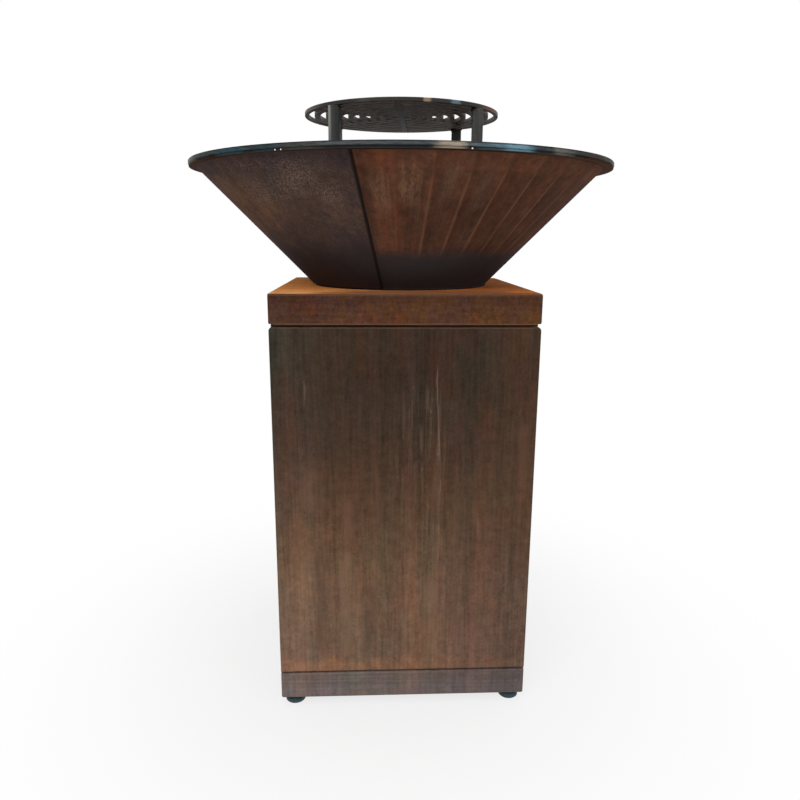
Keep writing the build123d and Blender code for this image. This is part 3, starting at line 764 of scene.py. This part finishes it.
# Patches of painted sheen and reflection round the rim: angle and half width in degrees, tone and share
RIM_PAINTED_SHEEN = (
    (292.0, 7.5, (56, 80, 92), 0.85), (293.2, 4.4, (92, 122, 134), 0.78), (277.4, 4.2, (138, 126, 110), 0.85),
    (285.4, 2.4, (52, 68, 74), 0.60), (304.6, 2.4, (106, 110, 106), 0.60), (306.0, 5.0, (92, 91, 84), 0.75),
    (299.0, 2.5, (36, 42, 45), 0.60), (322.0, 12.0, (64, 52, 42), 0.80), (226.0, 7.0, (46, 74, 82), 0.80),
    (236.5, 5.0, (40, 57, 61), 0.75), (246.0, 6.0, (62, 63, 58), 0.75), (194.0, 18.0, (104, 106, 98), 0.85),
    (214.0, 4.0, (52, 62, 62), 0.60), (344.0, 14.0, (108, 92, 76), 0.80), (140.0, 16.0, (46, 62, 68), 0.70),
    (92.0, 10.0, (78, 72, 62), 0.60), (50.0, 14.0, (56, 76, 84), 0.70))


def make_plate_steel():
    """The cooking plate: oiled black steel with rings of heat colour on top and a painted sheen on its edge.
    """
    g = Finish("seasoned_steel", 0.45, metallic=1.0)
    g.sockets["Specular Tint"].default_value = (0.6, 0.6, 0.6, 1.0)
    cloud, fine, radius = g.noise(11.0, 5.0, 0.6, 0.6), g.noise(160.0, 4.0, 0.6), g.radius()
    top = g.ramp(g.step(g.plus(radius, g.swing(cloud, 0.16)), 0.14, 0.42), (
        (0.0, (50, 48, 46)), (0.18, (40, 44, 50)), (0.32, (42, 37, 39)), (0.46, (56, 45, 35)),
        (0.62, (46, 41, 36)), (0.8, (31, 31, 31)), (1.0, (40, 40, 39))))
    top = g.gain(top, (fine, 0.5), (g.noise(34.0, 4.0), 0.7))
    # The edge's tones by height are painted reflections: a paler lower band, a near black bevel, then patches
    # of painted sheen
    middle = g.times(g.step(g.z, PLATE_HIGH - 2 * MM, PLATE_HIGH - 2.8 * MM),
                     g.step(g.z, PLATE_LOW + 1 * MM, PLATE_LOW + 3 * MM))
    bevel = g.step(g.z, PLATE_HIGH - 2.2 * MM, PLATE_HIGH - 1.6 * MM)
    side = g.blend(bevel, g.blend(middle, (38, 41, 43), (64, 68, 70)), (13, 14, 15))
    side = g.sheen(side, g.plus(g.less(0.7, g.times(bevel, 0.6)), g.times(middle, 0.3)), RIM_PAINTED_SHEEN)
    side = g.gain(side, (g.ring_noise(26.0, 520.0, 4.0), 1.6), (fine, 0.4))
    color = g.blend(g.step(radius, PLATE_RADIUS - 1.6 * MM, PLATE_RADIUS - 2.6 * MM), side, top)
    return g.done(color, fine, 0.3 * MM, rough=g.step(cloud, 0.3, 0.7, 0.34, 0.5))


def make_rim_steel():
    """The ring under the plate: blackened steel with the painted sheen of the plate's edge and three painted
    glints.
    """
    g = Finish("rim_steel", 0.6, metallic=1.0)
    g.sockets["Specular Tint"].default_value = (0.56, 0.44, 0.4, 1.0)
    fine = g.noise(180.0, 4.0, 0.6)
    color = g.sheen(g.blend(fine, (26, 26, 27), (38, 37, 38)), 0.9, RIM_PAINTED_SHEEN)
    # Three painted glints
    for angle in (239.85, 241.35, 282.15):
        color = g.laid(color, (236, 236, 232), g.rust_and_sheen_patch(angle, 0.22, RING_LOW + 1.2 * MM, 1.6 * MM), 0.9)
    # The underside: paler as painted light, with painted shade darkening it towards both ends
    under = g.blend(fine, (64, 55, 50), (88, 74, 66))
    under = g.tinted(under, (0.22, 0.17, 0.17), g.step(g.x, -0.22, -0.36))
    under = g.tinted(under, (0.28, 0.17, 0.12), g.step(g.x, 0.22, 0.36))
    color = g.blend(g.step(g.z, RING_LOW + 0.6 * MM, RING_LOW + 0.2 * MM), color, under)
    return g.done(color, fine, 0.3 * MM)


def make_grate_steel():
    """The grate and its legs, browned by fire, with a painted sheen and some rust on the rim, and painted
    highlights and shade on the legs.
    """
    g = Finish("grill_steel", 0.6, 0.2, 0.2)
    rust = g.rust((54, 46, 41), (66, 57, 51), (84, 70, 59), 30.0, 0.3)
    speck = g.noise(120.0, 5.0, 0.9)
    rim = g.step(g.radius(), GRATE_RADIUS - 1.6 * MM, GRATE_RADIUS - 0.6 * MM)
    color = g.laid(g.gain(rust["Color"], (speck, 1.8)), (34, 32, 31), rim, 0.85)
    # Patches on the rim: painted sheen and reflections, with rusty tones towards the ends
    color = g.sheen(color, rim, (
        (281.0, 3.0, (150, 128, 104), 0.75), (298.0, 4.5, (92, 112, 122), 0.8),
        (334.0, 22.0, (96, 62, 40), 0.6), (200.0, 20.0, (96, 80, 60), 0.5),
        (247.0, 6.0, (70, 70, 69), 0.4), (80.0, 12.0, (96, 110, 118), 0.6)))
    color = g.tinted(color, (1.25, 1.0, 0.82), g.rust_and_sheen_patch(345.0, 40.0), 0.8)
    leg = g.blend(g.step(g.runs(240.0, 12.0, 2.0), 0.4, 0.6), (46, 47, 45), (58, 58, 54))
    leg = g.gain(leg, (speck, 1.6))
    # Painted shade on the front left leg to the right of its edge, and painted highlights where two edges
    # catch the light
    leg = g.tinted(leg, (0.36, 0.4, 0.42), g.step(g.x, -0.128, -0.116), g.step(g.x, 0.0, -0.02))
    lit = g.math("MAXIMUM", g.step(g.x, -0.1275, -0.1305), g.times(g.step(g.x, 0.1375, 0.1392), 0.6))
    leg = g.laid(leg, (124, 124, 118), lit, g.step(g.z, 1.04, 1.10, 0.5, 1.0))
    color = g.blend(g.step(g.z, GRATE_LOW - 0.5 * MM, GRATE_LOW), leg, color)
    return g.done(color, speck, 0.3 * MM, rough=g.step(rust["Height"], 0.3, 0.7, 0.42, 0.6))


# Finishes of the small parts

def make_zinc():
    """Zinc plating, dulled in clouds."""
    g = Finish("zinc", 0.4, metallic=0.9)
    cloud = g.noise(120.0, 4.0, 0.6)
    color = g.blend(g.step(cloud, 0.35, 0.65), (96, 96, 95), (140, 140, 137))
    return g.done(color, cloud, 0.1 * MM, rough=g.step(cloud, 0.3, 0.7, 0.35, 0.55))


def make_brass():
    """Turned brass with fine rings and a brown tarnish."""
    g = Finish("brass", 0.45, metallic=0.9)
    ring = g.drawn((60, 60, 2400), 2.0)
    color = g.blend(g.step(g.noise(200.0, 4.0), 0.35, 0.7), (92, 72, 44), (140, 114, 68))
    return g.done(color, ring, 0.1 * MM, 0.25, g.step(ring, 0.3, 0.7, 0.38, 0.55))


def make_rubber():
    """Moulded rubber, dusty towards the floor."""
    g = Finish("foot_rubber", 0.7, 0.4)
    fine = g.noise(700.0)
    color = g.blend(g.step(fine, 0.3, 0.7), (34, 52, 58), (50, 72, 80))
    dust = g.times(g.step(g.z, 6 * MM, 0.0), g.step(g.noise(90.0, 4.0), 0.35, 0.7))
    return g.done(g.laid(color, (120, 116, 108), dust, 0.6), fine, 0.2 * MM)


def make_magnet():
    """The black moulded body of the door catch."""
    g = Finish("magnet_black", 0.5)
    fine = g.noise(900.0, 2.0)
    return g.done(g.blend(fine, (26, 26, 27), (40, 40, 41)), fine, 0.1 * MM)


finishes = {
    "door_rust": make_door_rust(), "side_rust": make_side_rust(), "plinth_rust": make_plinth_rust(),
    "cap_rust": make_cap_rust(),
    "inner_rust": plain_rust("inner_rust", 0.9, 0.08, ((48, 36, 29), (64, 46, 35), (84, 57, 40)), 14.0, 0.2,
                             0.4 * MM, 0.35),
    "bowl_smooth_rust": make_bowl_smooth_rust(), "bowl_creased_rust": make_bowl_creased_rust(),
    "bowl_soot": plain_rust("bowl_soot", 0.75, 0.3, ((30, 27, 26), (42, 36, 33), (66, 52, 43)), 24.0, 0.25,
                            0.4 * MM, 0.5),
    "seasoned_steel": make_plate_steel(), "grill_steel": make_grate_steel(), "zinc": make_zinc(),
    "brass": make_brass(), "foot_rubber": make_rubber(), "magnet_black": make_magnet(),
}
weld_metal = plain_rust("weld_metal", 0.8, 0.1, ((30, 26, 25), (40, 33, 30), (56, 45, 39)), 90.0, 0.3,
                        0.3 * MM, 0.5)
rim_steel = make_rim_steel()
slots = {part["node"]: part["material_slot"] for part in frame["record"]["subparts"]}
for name, node in nodes.items():
    node.data.materials.clear()
    node.data.materials.append(finishes[slots[name]])


# Fire bowl

def cone_wall(name, angles, outer, slot):
    """One sheet of the bowl: outer gives the radius at an angle and a share of the height.

    The point is the radius round the axis at the height; the inner face lies the wall's width inside.
    """
    share = np.linspace(0, 1, 25)[None, :]
    angle = angles[:, None]
    out = outer(angle, share)
    z = BOWL_LOW + share * (BOWL_HIGH - BOWL_LOW) + 0 * angle

    def at(radius):
        return np.stack([radius * np.cos(angle), radius * np.sin(angle), z], -1)

    rings = np.concatenate([at(out), at(out - WALL)[:, ::-1]], 1)
    return piece(name, [rings], "fire_bowl", finishes[slot], sharp=math.radians(35))


def straight(share):
    """Radius of the plain cone at a share of its height."""
    return FOOT_RADIUS + share * (MOUTH_RADIUS - FOOT_RADIUS)


def creased_radius(angle, share):
    """Radius of a polygon: a facet's distance over the cosine of the angle from its middle.

    Two neighbouring facets are joined by the soft minimum of their radii, so a crease is a tight bend.
    """
    facet = np.clip(np.floor((angle - SEAM) / CREASE_STEP), -1, CREASES)
    soft = 0.12 * MM
    apothem = straight(share) * math.cos(CREASE_STEP / 2)
    total = 0
    for side in (-1, 0, 1):
        middle = SEAM + (facet + side + 0.5) * CREASE_STEP
        radius = apothem / np.cos(np.clip(angle - middle, -1.2, 1.2))
        total = total + np.exp(-(radius - straight(share)) / soft)
    return straight(share) - soft * np.log(total)


def smooth_radius(angle, share):
    """Radius of the rolled cone, with the faint flats that rolling leaves between its ends."""
    run = (angle - (SEAM - math.pi - LAP)) / (math.pi + LAP)
    wave = 0.35 * MM * np.sin(9 * math.pi * run) ** 2 * np.sin(math.pi * run) ** 2
    return straight(share) + LAP_GAP + WALL - wave * np.sin(math.pi * share)


# Angles for the creased sheet, in steps between creases: close together at a crease, wide on a facet
beside = np.array([0.014, 0.03, 0.06, 0.1, 0.18, 0.34])
offsets = np.concatenate([[-0.5], -beside[::-1], [0.0], beside])
creased_angles = (np.arange(0, CREASES + 1)[:, None] + offsets[None, :]).ravel() * CREASE_STEP + SEAM
inside = (creased_angles > SEAM - LAP) & (creased_angles < SEAM + math.pi)
creased_angles = np.concatenate([[SEAM - LAP], creased_angles[inside], [SEAM + math.pi]])
creased_sheet = cone_wall("bowl_creased_wall", creased_angles, creased_radius, "bowl_creased_rust")
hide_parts("bowl_sheet_creased")

smooth_angles = np.linspace(SEAM - math.pi - LAP, SEAM, 241)
smooth_sheet = cone_wall("bowl_smooth_wall", smooth_angles, smooth_radius, "bowl_smooth_rust")
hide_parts("bowl_sheet_smooth")

EDGE_ROUND = 0.3 * MM
RING_WIDTH = 27 * MM
ring_inner = RING_RADIUS - RING_WIDTH
ring_profile = rounded([(RING_RADIUS, RING_LOW), (RING_RADIUS, PLATE_LOW), (ring_inner, PLATE_LOW),
                        (ring_inner, RING_LOW)], [EDGE_ROUND] * 4)
rim_ring = piece("bowl_rim", [turned(ring_profile, 360)], "fire_bowl", rim_steel, closed=True)
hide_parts("bowl_rim_ring")

foot_path = arc(FOOT_RADIUS - 0.4 * MM, BOWL_LOW - 0.7 * MM, 0, TURN * 719 / 720, 720)
foot_bead = bead(foot_path, 1.5 * MM, closed=True)
piece("bowl_foot_weld", [foot_bead], "fire_bowl", weld_metal, closed=True)

TACKS = 20
FIRST_TACK = math.radians(283)
TACK_HALF = 7 * MM
tacks = []
for tack in range(TACKS):
    middle = FIRST_TACK + tack * TURN / TACKS
    over_smooth = math.cos(middle - SEAM + math.pi / 2) > 0
    radius = MOUTH_RADIUS - (0 if over_smooth else WALL) - 2 * MM
    half = TACK_HALF / radius
    tacks.append(bead(arc(radius, BOWL_HIGH - 1.2 * MM, middle - half, middle + half, 26), 1.7 * MM))
piece("bowl_rim_tacks", tacks, "fire_bowl", weld_metal)

# Cooking plate

HOLE_RADIUS = 150 * MM
BEVEL = 2 * MM
BREAK = 0.8 * MM
plate_profile = rounded(
    [(PLATE_RADIUS - BREAK, PLATE_LOW), (PLATE_RADIUS, PLATE_LOW + BREAK),
     (PLATE_RADIUS, PLATE_HIGH - BEVEL), (PLATE_RADIUS - BEVEL, PLATE_HIGH),
     (HOLE_RADIUS + BREAK, PLATE_HIGH), (HOLE_RADIUS, PLATE_HIGH - BREAK),
     (HOLE_RADIUS, PLATE_LOW + BREAK), (HOLE_RADIUS + BREAK, PLATE_LOW)],
    [EDGE_ROUND] * 2 + [0.5 * MM] * 2 + [EDGE_ROUND] * 4)
plate = piece("plate", [turned(plate_profile, 480)], "cooking_ring",
              finishes["seasoned_steel"], closed=True)
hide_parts("cooking_plate")

# Grill: a weld round each leg's top, as far as the grate covers it

WELD_HALF = 10.5 * MM
LEG_TURN = math.radians(-8)
square = WELD_HALF * np.array([(-1, -1), (1, -1), (1, 1), (-1, 1)])
along = np.linspace(0, 1, 14, endpoint=False)[:, None]
sides = [square[i] + (square[(i + 1) % 4] - square[i]) * along for i in range(4)]
outline = np.concatenate(sides + [square[:1]])
spin = np.array([(math.cos(LEG_TURN), math.sin(LEG_TURN)), (-math.sin(LEG_TURN), math.cos(LEG_TURN))])
leg_welds = []
for corner in ("front_left", "front_right", "rear_left", "rear_right"):
    leg_low, leg_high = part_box(f"grill_leg_{corner}")
    flat = outline @ spin + np.array([leg_low.x + leg_high.x, leg_low.y + leg_high.y]) / 2
    under = np.linalg.norm(flat, axis=1) < GRATE_RADIUS - 1 * MM
    first = int(np.argmax(~under & np.roll(under, -1))) + 1
    covered = np.roll(flat[:-1], -first, 0)[:int(under[:-1].sum())]
    leg_welds.append(bead(np.column_stack([covered, np.full(len(covered), GRATE_LOW - 0.9 * MM)]), 1.3 * MM))
piece("leg_welds", leg_welds, "grill", weld_metal)


# Stage

def make_floor():
    """A pale floor that shows white to the camera and keeps a soft shadow."""
    g = Finish("pale_floor", 0.9, 0.0)
    g.sockets["Base Color"].default_value = (0.55, 0.55, 0.55, 1)
    surface = g.tree.nodes["Principled BSDF"].outputs[0]
    glow = g.node("ShaderNodeEmission", {"Color": (1, 1, 1, 1), "Strength": 1.0}).outputs[0]
    path = g.node("ShaderNodeLightPath").outputs
    seen = g.math("MAXIMUM", path["Is Camera Ray"], path["Is Glossy Ray"])
    share = g.times(seen, g.step(g.radius(), 0.25, 1.0, 0.78, 1.0))
    both = g.node("ShaderNodeMixShader", {0: share, 1: surface, 2: glow}).outputs[0]
    g.put(both, g.tree.nodes["Material Output"].inputs["Surface"])
    return g.material


FLOOR_HALF = 30.0
corners = [(FLOOR_HALF * x, FLOOR_HALF * y, 0) for x, y in ((-1, -1), (1, -1), (1, 1), (-1, 1))]
floor_mesh = bpy.data.meshes.new("floor")
floor_mesh.from_pydata(corners, [], [(0, 1, 2, 3)])
floor_mesh.materials.append(make_floor())
floor = bpy.data.objects.new("floor", floor_mesh)
bpy.context.scene.collection.objects.link(floor)

# The world is white to the camera and in reflections, and dimmer as a light
world = bpy.data.worlds.new("studio")
bpy.context.scene.world = world
world.use_nodes = True
back = world.node_tree.nodes["Background"].inputs
back["Color"].default_value = (1, 1, 1, 1)
sky = Graph(world.node_tree)
path = sky.node("ShaderNodeLightPath").outputs
clear = sky.math("MAXIMUM", path["Is Transmission Ray"], path["Is Glossy Ray"])
shown = sky.math("MAXIMUM", path["Is Camera Ray"], clear)
sky.put(sky.step(shown, 0.0, 1.0, 0.36, 1.0), back["Strength"])


def lamp(name, place, aim, size, power):
    """A soft lamp, of a width and a height, at a place and turned to its aim."""
    data = bpy.data.lights.new(name, "AREA")
    data.shape = "RECTANGLE"
    data.size, data.size_y = size
    data.energy = power
    made = bpy.data.objects.new(name, data)
    made.location = place
    made.rotation_euler = (Vector(aim) - Vector(place)).to_track_quat("-Z", "Y").to_euler()
    bpy.context.scene.collection.objects.link(made)


lamp("key", (-1.3, -2.6, 3.0), (0, 0, 0.6), (2.4, 2.0), 75)
lamp("fill", (2.2, -2.6, 1.5), (0, 0, 0.5), (1.8, 1.8), 26)
lamp("top", (0.2, 0.2, 3.4), (0, 0, 0.8), (2.6, 2.6), 120)

CAMERA_PLACE = Vector((-0.06345, -1.42984, 0.89076))


def make_camera():
    """The photograph's camera: its place, turn, tilt and roll from the fit of the object's corners."""
    yaw, pitch, roll = math.radians(2.572), math.radians(13.2), math.radians(0.359)
    ahead = Vector((math.sin(yaw) * math.cos(pitch), math.cos(yaw) * math.cos(pitch), -math.sin(pitch)))
    right = Vector((math.cos(yaw), -math.sin(yaw), 0))
    up = right.cross(ahead)
    right_turned = math.cos(roll) * right + math.sin(roll) * up
    up_turned = math.cos(roll) * up - math.sin(roll) * right
    data = bpy.data.cameras.new("camera")
    data.sensor_width = 36
    data.lens = 31.377
    data.clip_start, data.clip_end = 0.05, 100
    made = bpy.data.objects.new("camera", data)
    axes = Matrix((right_turned, up_turned, -ahead)).transposed().to_4x4()
    made.matrix_world = Matrix.Translation(CAMERA_PLACE) @ axes
    bpy.context.scene.collection.objects.link(made)
    bpy.context.scene.camera = made


make_camera()
bpy.context.scene.view_settings.view_transform = "Standard"
